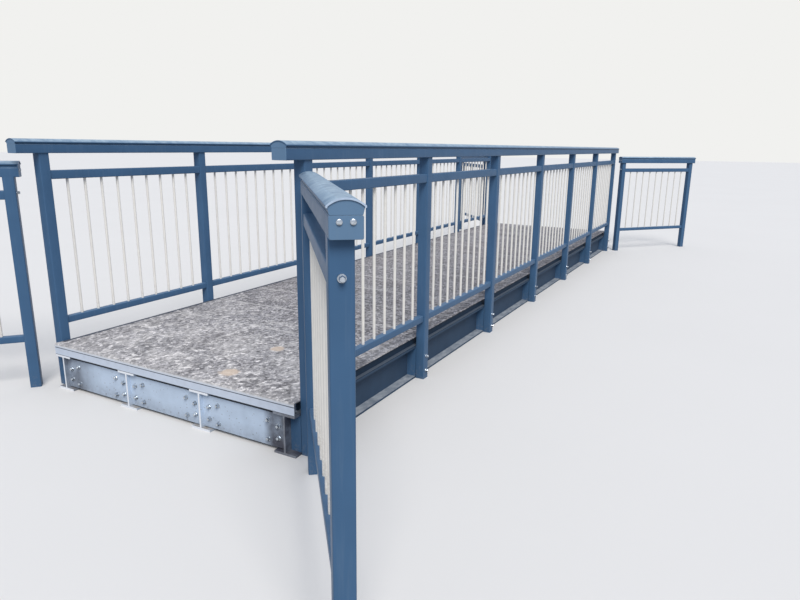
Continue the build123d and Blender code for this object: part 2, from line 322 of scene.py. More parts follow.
def bare_surface(name, finish, along, soil):
    """Unpainted pultruded polyester: pale, faintly streaked along its fibres, with specks of mud low down."""
    surface = new_material(name)
    tree, axes = surface.tree, surface.axes
    # Surface veil drawn out along the profile: 2.5 mm across, 60 mm long
    veil_scale = [per_size(60 if axis == along else 2.5) for axis in "XYZ"]
    drawn = add(tree, "ShaderNodeMapping", {"Vector": surface.place, "Scale": veil_scale})
    veil = add(tree, NOISE, {"Vector": drawn, "Scale": 1.0, "Detail": 3.0})
    surface.tone = laid(tree, finish.profile, scaled(finish.profile, 1.16), (veil, 0.35, 0.7, 0.3))
    # Cloudy resin, darker in patches a palm wide
    cloud = pattern(surface, NOISE, 110, Detail=5.0)
    coat(surface, scaled(finish.profile, 0.72), (cloud, 0.42, 0.75, 0.5))
    # Specks of mud a few millimetres wide, denser towards the ground
    specks = pattern(surface, VORONOI, 26)
    coat(surface, linear("#6f6a66"), (specks, 0.17, 0.09), (axes["Z"], 0.26, 0.02, 0.75))
    # Soil lying on flanges, and a brown film on the lowest part, which on the end plates is also painted
    # shade
    upward = meeting(tree, (surface.facing["Z"], 0.7, 0.95))
    lowest = meeting(tree, (axes["Z"], 0.1, 0.0, 0.45))
    either = add(tree, MATH, {0: upward, 1: lowest}, operation="MAXIMUM")
    lying = pattern(surface, NOISE, 30, Detail=6.0, Roughness=0.7)
    coat(surface, soil, either, (lying, 0.38, 0.6, 1.0, 0.5))
    # Painted shade on the bridge's ends beside its outer beams, deepest beside the right one
    reach = add(tree, MATH, {0: axes["X"]}, operation="ABSOLUTE")
    left = meeting(tree, (axes["Y"], DECK_EDGE - 0.32, DECK_EDGE - 0.17, 0.85))
    right = meeting(tree, (axes["Y"], 0.21 - DECK_EDGE, 0.15 - DECK_EDGE, 1.35))
    beside = add(tree, MATH, {0: left, 1: right}, operation="MAXIMUM")
    at_ends = (reach, DECK_END - 0.12, DECK_END - 0.05, 0.85)
    coat(surface, linear("#454752"), beside, at_ends, (cloud, 0.3, 0.6, 1.0, 0.5))
    # Sawn ends show the bare glass, paler than the veiled faces; less on the right beam, under painted shade
    sawn = (reach, DECK_END - 1.5 * MM, DECK_END - 0.5 * MM)
    coat(surface, finish.cut, sawn, (axes["Y"], 0.14 - DECK_EDGE, 0.20 - DECK_EDGE, 1.0, 0.12))
    rough = meeting(tree, (cloud, 0.0, 1.0, 0.6, 0.38))
    bump = add(tree, BUMP, {"Height": veil, "Strength": 0.25, "Distance": 0.3 * MM})
    surface.look = {"Roughness": rough, "Normal": bump, "IOR": 1.52}
    return surface


def outer_beam_profile(finish):
    """Outer beam: painted outside and underneath, bare inside and on the last stretch before its cut ends."""
    surface = bare_surface("painted_edge_beam", finish, "X", finish.soil)
    tree, axes = surface.tree, surface.axes
    cloud = pattern(surface, NOISE, 120, Detail=5.0)
    bare = surface.tone
    # The paint at a third to a half of its tone, darker than on the posts: painted shade
    surface.tone = laid(tree, scaled(finish.paint, 0.34), scaled(finish.paint, 0.56), cloud)
    # Dust and soil lie on the bottom flange, outside the web
    lying = pattern(surface, NOISE, 70, Detail=7.0, Roughness=0.7)
    dust = laid(tree, linear("#7d8794"), linear("#b4b8bb"), lying)
    coat(surface, dust, (surface.facing["Z"], 0.7, 0.95), (lying, 0.3, 0.62, 1.0, 0.45))
    across = add(tree, MATH, {0: axes["Y"]}, operation="ABSOLUTE")
    along = add(tree, MATH, {0: axes["X"]}, operation="ABSOLUTE")
    inboard = (along, DECK_END - 45 * MM, DECK_END - 60 * MM)
    painted = meeting(tree, (across, PAINT_LINE, PAINT_LINE + 2 * MM), inboard)
    surface.tone = laid(tree, bare, surface.tone, painted)
    # Weathered matt outside the web
    surface.look["Roughness"] = meeting(tree, (painted, 0.0, 1.0, 0.8, 0.5))
    return close_material(surface)


def gritted_surface(name, finish, edge, wrap, side_roughness=0.45):
    """Quartz grit rolled into resin: rough and speckled, with dried dust, mud and pale joints.

    The grit covers the top, and the sides down to the wrap. Below it the profile has its own edge colour.
    """
    surface = new_material(name)
    tree, along = surface.tree, surface.axes["X"]
    # Grains are 3 mm; drawn 10 mm wide so that they still show from a few metres away
    grains = pattern(surface, VORONOI, 10)
    grain_tone = add(tree, "ShaderNodeSeparateXYZ", {"Vector": grains.node.outputs["Color"]})
    surface.tone = add(tree, "ShaderNodeValToRGB", {"Fac": grain_tone})
    ramp = surface.tone.node.color_ramp.elements
    ramp.new(0.5)
    for stop, factor in zip(ramp, (0.3, 1.0, 2.3)):
        stop.color = scaled(finish.grit, factor)
    # Clumps of grit some 25 mm wide, lighter or darker together
    clumps = pattern(surface, NOISE, 24, Detail=5.0, Roughness=0.7)
    coat(surface, linear("#9b999c"), (clumps, 0.35, 0.65, 0.42))
    # Brown tinge where feet have carried soil in
    tinge = pattern(surface, NOISE, 420, Detail=4.0)
    coat(surface, linear("#9b8d85"), (tinge, 0.42, 0.7, 0.22))
    # Even film of dust over the first metre and a half, where feet bring it in
    first_part = {"From Min": -DECK_END, "From Max": 1.7 - DECK_END, "To Min": 0.5, "To Max": 0.0}
    carried = add(tree, RANGE, {"Value": along, **first_part}, interpolation_type="SMOOTHSTEP")
    coat(surface, linear("#c6c2c1"), carried)
    # Hollows that stay darker, from a hand's length down to a finger wide, and over them dried pale dust in
    # patches of three widths, thickest within two metres of the front end
    dark = linear("#5e5d61")
    trodden = (along, 2.4 - DECK_END, -DECK_END, 1.0, 0.2)
    for width, low, high, most, patch, *within in (
        (210, 0.48, 0.64, 0.42, dark),
        (60, 0.52, 0.62, 0.36, dark),
        (22, 0.54, 0.62, 0.50, dark),
        (190, 0.50, 0.62, 0.50, scaled(finish.dust, 1.0), trodden),
        (60, 0.54, 0.61, 0.75, scaled(finish.dust, 1.25), trodden),
        (27, 0.57, 0.62, 0.85, scaled(finish.dust, 1.35), trodden),
    ):
        shape = pattern(surface, NOISE, width, Detail=5.0, Roughness=0.55)
        coat(surface, patch, (shape, low, high, most), *within)
    # Coarser grains stand up through the dust: 16 mm wide clusters, each a little lighter or darker
    clusters = pattern(surface, VORONOI, 16).node.outputs["Color"]
    cluster_tone = add(tree, "ShaderNodeSeparateXYZ", {"Vector": clusters})
    shade = meeting(tree, (cluster_tone, 0.0, 1.0, 1.38, 0.60))
    both = {SHARE: 1.0, UNDER: surface.tone, OVER: shade}
    surface.tone = add(tree, MIX, both, data_type="RGBA", blend_type="MULTIPLY")
    # Dust packed in the joints between panels, and mostly swept out of those near the front end
    off_joint = along
    half_panel = PANEL_PITCH / 2
    steps = (("ADD", DECK_END + half_panel), ("MODULO", PANEL_PITCH), ("SUBTRACT", half_panel))
    for operation, number in steps:
        off_joint = add(tree, MATH, {0: off_joint, 1: number}, operation=operation)
    off_joint = add(tree, MATH, {0: off_joint}, operation="ABSOLUTE")
    swept = (along, 0.4 - DECK_END, 1.0 - DECK_END, 0.62, 0.2)
    joint = (off_joint, 11 * MM, 4 * MM)
    coat(surface, linear("#dfdbd8"), (clumps, 0.25, 0.5, 1.0, 0.3), swept, joint)
    # Two trodden clods of clay near the front edge
    warp = pattern(surface, NOISE, 40, Detail=4.0)
    for from_end, across, radius in ((0.16, -0.345, 0.055), (0.60, -0.31, 0.045)):
        centre = (from_end - DECK_END, across, DECK_TOP)
        away = add(tree, "ShaderNodeVectorMath", {0: surface.place, 1: centre}, "Value", operation="DISTANCE")
        ragged = add(tree, MATH, {0: warp, 1: radius, 2: away}, operation="MULTIPLY_ADD")
        coat(surface, linear("#dcc7b2"), (ragged, radius * 1.6, radius * 1.25, 0.8))
    # Below the grit, the panel or profile is bare resin
    gritted = meeting(tree, (surface.axes["Z"], DECK_TOP - wrap - 1 * MM, DECK_TOP - wrap))
    veil = pattern(surface, NOISE, 40, Detail=6.0)
    side = laid(tree, scaled(edge, 0.84), scaled(edge, 1.08), veil)
    rough = meeting(tree, (gritted, 0.0, 1.0, 0.85, side_roughness))
    stones = add(tree, MATH, {0: grains, 1: gritted}, operation="MULTIPLY")
    bump = add(tree, BUMP, {"Height": stones, "Strength": 0.9, "Distance": 3 * MM}, invert=True)
    surface.tone = laid(tree, side, surface.tone, gritted)
    surface.look = {"Roughness": rough, "Normal": bump, "IOR": 1.5, "Specular IOR Level": 0.25}
    return surface


def gritted_nosing(finish):
    """Pale end profile under the grit: dusty over its groove, with painted shade and a painted highlight
    lower down.
    """
    surface = gritted_surface("gritted_nosing", finish, finish.nosing, 10 * MM)
    tree = surface.tree
    below = add(tree, MATH, {0: DECK_TOP, 1: surface.axes["Z"]}, operation="SUBTRACT")
    # The first band is dust; the two dark ones are painted shade in the groove and at the foot, the pale one
    # a painted highlight
    # Bands down the face: where each starts and ends, its colour, and how much of it covers the profile
    for top, bottom, code, most in (
        (0.0040, 0.0165, "#dcdde0", 0.65),
        (0.0200, 0.0240, "#5b6069", 0.90),
        (0.0500, 0.0600, "#ccd7e6", 0.60),
        (0.0635, 0.0700, "#3c424b", 0.90),
    ):
        half = (bottom - top) / 2
        off_middle = add(tree, MATH, {0: below, 1: (top + bottom) / 2}, operation="SUBTRACT")
        off_middle = add(tree, MATH, {0: off_middle}, operation="ABSOLUTE")
        coat(surface, linear(code), (off_middle, half + 0.6 * MM, half, most))
    # Painted shade inside its open ends
    across = add(tree, MATH, {0: surface.axes["Y"]}, operation="ABSOLUTE")
    turned = add(tree, MATH, {0: surface.facing["X"]}, operation="ABSOLUTE")
    inside = (turned, 0.7, 0.4, 0.9)
    at_ends = (across, DECK_EDGE - 25 * MM, DECK_EDGE - 15 * MM)
    coat(surface, linear("#474c54"), at_ends, inside, (below, 2 * MM, 4 * MM))
    return close_material(surface)


def gritted_trim(finish):
    """Outward channel along the deck's side, dark in painted shade, gritted on its upper lip and dusty on its
    lower one.
    """
    # Below the grit its side is the posts' paint at a third of its tone: the paint, darkened by painted shade
    surface = gritted_surface("gritted_edge_trim", finish, scaled(finish.paint, 0.30), 5.5 * MM, 0.75)
    axes = surface.axes
    below = (axes["Z"], DECK_TOP - 10 * MM, DECK_TOP - 12 * MM)
    upward = (surface.facing["Z"], 0.7, 0.95, 0.45)
    coat(surface, linear("#7f8894"), upward, below)
    # The deck's left edge ends in a thin dark line over the outer rim of its trim
    coat(surface, linear("#3d4654"), (axes["Y"], DECK_EDGE - 31 * MM, DECK_EDGE - 22 * MM, 0.9))
    return close_material(surface)


def cut_edge(finish):
    """Pale tone of the arched tops' cut ends, mottled between a half-paint, half-profile tone and the bare
    profile's.
    """
    surface = new_material("pale_cut_edge")
    tree = surface.tree
    mottle = pattern(surface, NOISE, 12, Detail=4.0)
    half_paint = [(a + b) / 2 for a, b in zip(finish.paint, finish.profile)]
    surface.tone = laid(tree, half_paint, scaled(finish.profile, 1.1), mottle)
    grain = add(tree, BUMP, {"Height": mottle, "Strength": 0.2, "Distance": 0.2 * MM})
    surface.look = {"Roughness": 0.4, "Normal": grain}
    return close_material(surface)


def ivory_rod(finish):
    """Moulded-through ivory polyester rod: smooth and slightly glossy, with dust near its foot."""
    surface = new_material("ivory_polyester_rod")
    tree = surface.tree
    cloud = pattern(surface, NOISE, 35, Detail=4.0)
    surface.tone = laid(tree, scaled(finish.baluster, 0.86), finish.baluster, cloud)
    spots = pattern(surface, NOISE, 9, Detail=5.0)
    foot = (surface.axes["Z"], DECK_TOP + 0.26, DECK_TOP + 0.1, 0.35)
    coat(surface, linear("#a89a88"), foot, (spots, 0.4, 0.65))
    bump = add(tree, BUMP, {"Height": cloud, "Strength": 0.15, "Distance": 0.3 * MM})
    surface.look = {"Roughness": 0.36, "Normal": bump}
    return close_material(surface)


def galvanised_steel(finish):
    """Hot-dip galvanised steel: grey metal with crystals a few millimetres wide that differ in gloss."""
    surface = new_material("galvanised_steel")
    tree = surface.tree
    crystals = pattern(surface, VORONOI, 4).node.outputs["Color"]
    glint = add(tree, "ShaderNodeSeparateXYZ", {"Vector": crystals}).node.outputs
    surface.tone = laid(tree, scaled(finish.steel, 0.8), scaled(finish.steel, 1.15), glint["X"])
    # Painted shade on the undersides of heads and washers
    coat(surface, linear("#33383f"), (surface.facing["Z"], -0.15, -0.45, 0.9))
    rough = meeting(tree, (glint["Y"], 0.0, 1.0, 0.4, 0.22))
    surface.look = {"Roughness": rough, "Metallic": 1.0}
    return close_material(surface)


def pale_floor():
    """Matt pale studio floor, which throws little light back up under the bridge."""
    surface = new_material("studio_floor")
    tree = surface.tree
    cloud = pattern(surface, NOISE, 2000, Detail=3.0)
    surface.tone = laid(tree, linear("#e0ddd9"), linear("#e4e1dd"), cloud)
    ray = add(tree, "ShaderNodeLightPath").node.outputs
    seen = add(tree, MATH, {0: ray["Is Camera Ray"], 1: ray["Is Glossy Ray"]}, operation="MAXIMUM")
    surface.tone = laid(tree, linear("#a09d99"), surface.tone, seen)
    surface.look = {"Roughness": 0.9, "Specular IOR Level": 0.2}
    return close_material(surface)


# Meshes


def ahead(heading):
    """Level unit vector along a heading."""
    return Vector((math.cos(heading), math.sin(heading), 0.0))


def aside(heading):
    """Level unit vector to the left of a heading."""
    return Vector((-math.sin(heading), math.cos(heading), 0.0))


def corner_turns(approach, offset=0.0, level=0.0):
    """Start and turn of the four approach railings, which run outward along their own X.

    The offset moves them sideways to the walkway.
    """
    across = DECK_EDGE + approach.gap_across
    spots = []
    for end in (-1, 1):
        for side in (-1, 1):
            heading = side * (math.pi - approach.angle if end < 0 else approach.angle)
            spot = Vector((end * DECK_END, side * across, level)) + aside(heading) * (-end * side * offset)
            spots.append((spot, Vector((0.0, 0.0, heading))))
    return spots


def bridge_lines(start=0.0, level=0.0):
    """Start and turn of the right and the left railing of the bridge."""
    return [(Vector((start, side * POST_LINE, level)), Vector((0.0, 0.0, 0.0))) for side in (-1, 1)]


def both_ends(lines, reach):
    """Point at each end of each line, with the turn of a unit that faces backward along its X."""
    ends = []
    for spot, turn in lines:
        ends.append((spot, turn))
        ends.append((spot + ahead(turn.z) * reach, turn + Vector((0.0, 0.0, math.pi))))
    return ends


def new_tree(name, inputs):
    """Geometry node tree with its named inputs, and the sockets that give them inside it."""
    tree = bpy.data.node_groups.new(name, "GeometryNodeTree")
    tree.is_modifier = True
    for label, kind in {"Geometry": "Geometry", **inputs, "Material": "Material"}.items():
        tree.interface.new_socket(label, in_out="INPUT", socket_type=f"NodeSocket{kind}")
    tree.interface.new_socket("Geometry", in_out="OUTPUT", socket_type="NodeSocketGeometry")
    return tree, add(tree, "NodeGroupInput").node.outputs


def close_tree(tree, given, unit, smooth_below=32.0):
    """Set the unit on every given place, make the copies real, shade them and give them their material."""
    turn = add(tree, "GeometryNodeInputNamedAttribute", {"Name": "turn"}, data_type="FLOAT_VECTOR")
    placed = {"Points": given["Geometry"], "Instance": unit, "Rotation": turn}
    copies = add(tree, "GeometryNodeInstanceOnPoints", placed)
    real = add(tree, "GeometryNodeRealizeInstances", {"Geometry": copies})
    bend = {"A": add(tree, "GeometryNodeInputMeshEdgeAngle"), "B": math.radians(smooth_below)}
    crisp = add(tree, "FunctionNodeCompare", bend, data_type="FLOAT", operation="GREATER_THAN")
    soft = add(tree, "GeometryNodeSetShadeSmooth", {"Geometry": real}, domain="FACE")
    sharpened = {"Geometry": soft, "Selection": crisp, "Shade Smooth": False}
    edged = add(tree, "GeometryNodeSetShadeSmooth", sharpened, domain="EDGE")
    clothed = add(tree, "GeometryNodeSetMaterial", {"Geometry": edged, "Material": given["Material"]})
    add(tree, "NodeGroupOutput", {"Geometry": clothed})


def repeat(tree, unit, number, step, first=(0.0, 0.0, 0.0)):
    """Copies of a unit in one row, as instances."""
    row = {"Count": number, "Offset": step, "Start Location": first}
    points = add(tree, "GeometryNodeMeshLine", row, mode="OFFSET")
    return add(tree, "GeometryNodeInstanceOnPoints", {"Points": points, "Instance": unit})


def tube_tree():
    """Square tubes with rounded corners and real walls, upright or lying along X, in rows."""
    sizes = dict.fromkeys(("Size", "Wall", "Corner", "Length"), "Float")
    rows = {"Start": "Vector", "Tilt": "Vector", "Count": "Int", "Step": "Vector"}
    tree, given = new_tree("Square tubes", {**sizes, **rows})
    square = {"Width": given["Size"], "Height": given["Size"]}
    outer = add(tree, "GeometryNodeCurvePrimitiveQuadrilateral", square)
    arcs = {"Curve": outer, "Radius": given["Corner"], "Count": 5}
    rounded = add(tree, "GeometryNodeFilletCurve", arcs, mode="POLY")
    bore = add(tree, MATH, {0: given["Wall"], 1: -2.0, 2: given["Size"]}, operation="MULTIPLY_ADD")
    inner = add(tree, "GeometryNodeCurvePrimitiveQuadrilateral", {"Width": bore, "Height": bore})
    both = add(tree, "GeometryNodeJoinGeometry", {"Geometry": (rounded, inner)})
    ring = add(tree, "GeometryNodeFillCurve", {"Curve": both}, mode="TRIANGLES")
    rise = add(tree, "ShaderNodeCombineXYZ", {"Z": given["Length"]})
    drawn_up = {"Mesh": ring, "Offset": rise, "Individual": False}
    walls = add(tree, "GeometryNodeExtrudeMesh", drawn_up, mode="FACES")
    underside = add(tree, "GeometryNodeFlipFaces", {"Mesh": ring})
    shell = add(tree, "GeometryNodeJoinGeometry", {"Geometry": (walls, underside)})
    closed = add(tree, "GeometryNodeMergeByDistance", {"Geometry": shell, "Distance": 0.01 * MM})
    tilted = add(tree, "GeometryNodeTransform", {"Geometry": closed, "Rotation": given["Tilt"]})
    close_tree(tree, given, repeat(tree, tilted, given["Count"], given["Step"], given["Start"]))
    return tree


def tube_row(size, wall, corner, height, start, tilt, number, step):
    """Values of one row of tubes, which stands along X."""
    return {
        "Size": size,
        "Wall": wall,
        "Corner": corner,
        "Length": height,
        "Start": start,
        "Tilt": (0.0, tilt, 0.0),
        "Count": number,
        "Step": (step, 0.0, 0.0),
    }


def baluster_tree():
    """Round balusters, evenly spaced in each bay of a railing."""
    sizes = {"Diameter": "Float", "Length": "Float", "Start": "Vector", "Count": "Int", "Pitch": "Vector"}
    tree, given = new_tree("Balusters", {**sizes, "Bays": "Int", "Bay": "Vector"})
    radius = add(tree, MATH, {0: given["Diameter"], 1: 0.5}, operation="MULTIPLY")
    rod = add(tree, "GeometryNodeMeshCylinder", {"Vertices": 20, "Radius": radius, "Depth": given["Length"]})
    half = add(tree, MATH, {0: given["Length"], 1: 0.5}, operation="MULTIPLY")
    lift = add(tree, "ShaderNodeCombineXYZ", {"Z": half})
    standing = add(tree, "GeometryNodeTransform", {"Geometry": rod, "Translation": lift})
    panel = repeat(tree, standing, given["Count"], given["Pitch"], given["Start"])
    close_tree(tree, given, repeat(tree, panel, given["Bays"], given["Bay"]))
    return tree


def bolt_tree():
    """Bolt heads with a washer: six-sided, or round with a domed top."""
    sizes = dict.fromkeys(("Head", "Height", "Crown", "Washer", "Washer height"), "Float")
    tree, given = new_tree("Bolts", {"Sides": "Int", **sizes})
    # The washer narrows a little to its top, and the flank takes 0.7 of the head's height, the crown the rest
    shares = (("Washer", 0.5), ("Washer", 0.46), ("Head", 0.5), ("Height", 0.7), ("Height", 0.3))
    foot, rim, radius, flank_height, crown_height = [
        add(tree, MATH, {0: given[label], 1: share}, operation="MULTIPLY") for label, share in shares
    ]
    top = add(tree, MATH, {0: radius, 1: given["Crown"]}, operation="MULTIPLY")
    disc = {"Vertices": 28, "Radius Top": rim, "Radius Bottom": foot, "Depth": given["Washer height"]}
    parts = [add(tree, "GeometryNodeMeshCone", disc)]
    prism = {"Vertices": given["Sides"], "Radius": radius, "Depth": flank_height}
    flank = add(tree, "GeometryNodeMeshCylinder", prism)
    dome = {"Vertices": given["Sides"], "Radius Top": top, "Radius Bottom": radius, "Depth": crown_height}
    crown = add(tree, "GeometryNodeMeshCone", dome)
    # The flank is made round its middle, and the crown stands on its base
    for part, share in ((flank, 0.35), (crown, 0.7)):
        level = {0: given["Height"], 1: share, 2: given["Washer height"]}
        lift = add(tree, "ShaderNodeCombineXYZ", {"Z": add(tree, MATH, level, operation="MULTIPLY_ADD")})
        parts.append(add(tree, "GeometryNodeTransform", {"Geometry": part, "Translation": lift}))
    close_tree(tree, given, add(tree, "GeometryNodeJoinGeometry", {"Geometry": tuple(parts)}))
    return tree


def copy_tree():
    """Copies of one ready-made unit on the given places."""
    tree, given = new_tree("Copies", {"Unit": "Object"})
    close_tree(tree, given, add(tree, "GeometryNodeObjectInfo", {"Object": given["Unit"]}, "Geometry"))
    return tree


def new_object(name, data):
    """Object of a mesh, a lamp or a camera, in the scene."""
    made = bpy.data.objects.new(name, data)
    bpy.context.scene.collection.objects.link(made)
    return made


def bake(name, spots, tree, values, material, replaced=()):
    """Piece that a tree makes on its spots, kept as a plain mesh that may stand for CAD nodes.

    The spots are loose points that carry the turn of the copy set on each, as Euler angles.
    """
    points = bpy.data.meshes.new(name)
    points.from_pydata([spot for spot, turn in spots], [], [])
    turns = points.attributes.new("turn", "FLOAT_VECTOR", "POINT")
    for index, (spot, turn) in enumerate(spots):
        turns.data[index].vector = turn
    piece = new_object(name, points)
    modifier = piece.modifiers.new(tree.name, "NODES")
    modifier.node_group = tree
    sockets = {
        item.name: item.identifier
        for item in tree.interface.items_tree
        if item.item_type == "SOCKET" and item.in_out == "INPUT"
    }
    for label, value in {**values, "Material": material}.items():
        modifier[sockets[label]] = value
    piece.update_tag()
    graph = bpy.context.evaluated_depsgraph_get()
    mesh = bpy.data.meshes.new_from_object(piece.evaluated_get(graph), depsgraph=graph)
    if not mesh.polygons:
        raise RuntimeError(f"the tree {tree.name} made nothing for {name}")
    piece.modifiers.clear()
    piece.data = mesh
    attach(piece, "root")
    if replaced:
        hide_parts(*replaced)


def nodes_named(start, end=""):
    """Names of the CAD nodes that begin and end with the given words."""
    return sorted(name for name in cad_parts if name.startswith(start) and name.endswith(end))


def finish_material(key):
    """Material made by the finishes operator."""
    material = bpy.data.materials.get(key)
    if material is None:
        raise RuntimeError(f"the material {key} is missing: run the finishes first")
    return material


# Pieces


class FOOTBRIDGE_OT_finishes(bpy.types.Operator):
    """Make the materials and put them on the beams, plates, cleats, trims and deck."""

    bl_idname = "footbridge.finishes"
    bl_label = "Finishes"

    def execute(self, context):
        finish = context.scene.footbridge_finish
        # The caps take a greyer and paler copy of the paint, which is painted light
        lit_cap_paint = [c * lift for c, lift in zip(finish.paint[:3], (2.2, 1.72, 1.45))] + [1.0]
        satin = painted_profile("satin_paint", finish, finish.paint, 0.12)
        painted_profile("handrail_paint", finish, finish.paint, 1.0)
        painted_profile("lit_cap_paint", finish, lit_cap_paint, 0.3)
        ivory_rod(finish)
        cut_edge(finish)
        galvanised_steel(finish)
        # The end plates and cleats take their soil at about a fifth of its tone, which on them is painted
        # shade as well as soil
        across = close_material(bare_surface("bare_cross_profile", finish, "Y", scaled(finish.soil, 0.22)))
        for start, material in (
            ("beam_inner", close_material(bare_surface("bare_beam_profile", finish, "X", finish.soil))),
            ("cross_", across),
            ("angle_cleats", across),
            ("girder_", outer_beam_profile(finish)),
            ("post_spacers", satin),
            ("deck_panels", close_material(gritted_surface("gritted_panel", finish, finish.profile, 4 * MM))),
            ("nosing", gritted_nosing(finish)),
            ("edge_trims", gritted_trim(finish)),
        ):
            for name in nodes_named(start):
                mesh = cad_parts[name].data
                mesh.materials.clear()
                mesh.materials.append(material)
        return {"FINISHED"}


class FOOTBRIDGE_OT_posts(bpy.types.Operator):
    """Build the posts of the bridge and of its approach railings as rounded square tubes."""

    bl_idname = "footbridge.posts"
    bl_label = "Posts"

    def execute(self, context):
        railing = context.scene.footbridge_railing
        approach = context.scene.footbridge_approach
        tree = tube_tree()
        paint = finish_material("satin_paint")
        half = railing.post_size / 2
        inset = approach.setback + half
        flared = corner_turns(approach, approach.offset)
        reach = approach.length - 2 * inset
        along = (FIRST_POST + half, railing.bay_count + 1, railing.bay_length)
        for name, spots, height, (first, number, step), start in (
            ("bridge_posts", bridge_lines(), HANDRAIL_UNDERSIDE, along, "posts_"),
            ("approach_posts", flared, WING_UNDERSIDE, (inset, 2, reach), "wing_posts"),
        ):
            section = (railing.post_size, railing.post_wall, railing.post_corner)
            values = tube_row(*section, height, (first, 0.0, 0.0), 0.0, number, step)
            bake(name, spots, tree, values, paint, nodes_named(start))
        return {"FINISHED"}


class FOOTBRIDGE_OT_railings(bpy.types.Operator):
    """Build the rails between the posts and the ivory balusters between the rails."""

    bl_idname = "footbridge.railings"
    bl_label = "Rails and balusters"

    def execute(self, context):
        railing = context.scene.footbridge_railing
        approach = context.scene.footbridge_approach
        tubes = tube_tree()
        rods = baluster_tree()
        paint = finish_material("satin_paint")
        ivory = finish_material("ivory_polyester_rod")
        post = railing.post_size
        bays = railing.bay_count
        clear_bay = railing.bay_length - post
        inset = approach.setback + post
        flared = corner_turns(approach, approach.offset)
        for label, places, start, clear, number, replaced in (
            ("bridge", bridge_lines(), FIRST_POST + post, clear_bay, bays, nodes_named("railing_")),
            ("approach", flared, inset, approach.length - 2 * inset, 1, nodes_named("wing_", "_railing")),
        ):
            low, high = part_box(replaced[0])
            for position, size, level in (
                ("lower", railing.lower_rail, low.z + railing.lower_rail / 2),
                ("upper", railing.upper_rail, high.z - railing.upper_rail / 2),
            ):
                section = (size, railing.rail_wall, railing.rail_corner)
                first = (start, 0.0, level)
                values = tube_row(*section, clear, first, math.pi / 2, number, railing.bay_length)
                bake(f"{label}_{position}_rails", places, tubes, values, paint, replaced)
            foot = low.z + railing.lower_rail - 1 * MM
            top = high.z - railing.upper_rail + 1 * MM
            pitch = clear / (railing.baluster_count + 1)
            values = {
                "Diameter": railing.baluster_diameter,
                "Length": top - foot,
                "Start": (start + pitch, 0.0, foot),
                "Count": railing.baluster_count,
                "Pitch": (pitch, 0.0, 0.0),
                "Bays": number,
                "Bay": (railing.bay_length, 0.0, 0.0),
            }
            bake(f"{label}_balusters", places, rods, values, ivory)
        return {"FINISHED"}


def rounded_outline(points, radii, steps=4):
    """Outline in Y and Z with each corner turned into an arc of its own radius."""
    outline = []
    for index, (corner, radius) in enumerate(zip(points, radii)):
        corner = Vector(corner)
        if radius == 0.0:
            outline.append(corner)
            continue
        back = (Vector(points[index - 1]) - corner).normalized()
        onward = (Vector(points[(index + 1) % len(points)]) - corner).normalized()
        half = back.angle(onward) / 2
        start = corner + back * (radius / math.tan(half))
        finish = corner + onward * (radius / math.tan(half))
        centre = corner + (back + onward).normalized() * (radius / math.sin(half))
        for step in range(steps + 1):
            spoke = (start - centre).lerp(finish - centre, step / steps).normalized()
            outline.append(centre + spoke * radius)
    return outline


def run_of(work, outline, start, finish, edge):
    """Closed solid with one section from start to finish along X, with a small bevel round both ends."""
    middle = sum(outline, Vector((0.0, 0.0))) / len(outline)
    inset = []
    for point in outline:
        inward = middle - point
        inset.append(point + inward.normalized() * min(edge, inward.length / 2))
    rings = []
    for x, shape in ((start, inset), (start + edge, outline), (finish - edge, outline), (finish, inset)):
        rings.append([work.verts.new((x, point[0], point[1])) for point in shape])
    for first, second in zip(rings, rings[1:]):
        for index in range(len(outline)):
            after = (index + 1) % len(outline)
            work.faces.new((first[index], second[index], second[after], first[after]))
    work.faces.new(rings[0])
    work.faces.new(list(reversed(rings[-1])))


def flat_outline(width, low, high, corner):
    """Box section from one level to another, with rounded corners."""
    half = width / 2
    return rounded_outline([(-half, low), (half, low), (half, high), (-half, high)], [corner] * 4)


def arc(handrail, half_width, inset, steps=28):
    """Points of the arched top from +Y to -Y, at a depth under its surface."""
    half_lip = handrail.lip_width / 2
    height = handrail.rise - handrail.lip_underside - handrail.lip_edge
    radius = (half_lip**2 + height**2) / (2 * height)
    centre = handrail.rise - radius
    spread = math.asin(half_width / (radius - inset))
    angles = [spread * (1 - 2 * step / steps) for step in range(steps + 1)]
    return [Vector(((radius - inset) * math.sin(a), centre + (radius - inset) * math.cos(a))) for a in angles]


def crown_outline(handrail, lift):
    """Arched top of the handrail as a shell with its two rounded lips, open below."""
    half_lip = handrail.lip_width / 2
    within = half_lip - handrail.crown_wall
    foot = handrail.lip_underside
    outer = arc(handrail, half_lip, 0.0)
    inner = list(reversed(arc(handrail, within, handrail.crown_wall)))
    points = outer + [(-half_lip, foot), (-within, foot)] + inner + [(within, foot), (half_lip, foot)]
    corner = handrail.lip_corner
    plain = [0.0] * (len(outer) - 2)
    radii = [corner] + plain + [corner, corner, 0.0] + [0.0] * len(inner) + [0.0, corner]
    return [point + Vector((0.0, lift)) for point in rounded_outline(points, radii)]


def make_unit(name, runs):
    """Object of one unit from its runs: the outline of each, its start, its finish and its bevel."""
    work = bmesh.new()
    for run in runs:
        run_of(work, *run)
    bmesh.ops.recalc_face_normals(work, faces=work.faces)
    mesh = bpy.data.meshes.new(name)
    work.to_mesh(mesh)
    work.free()
    return new_object(name, mesh)


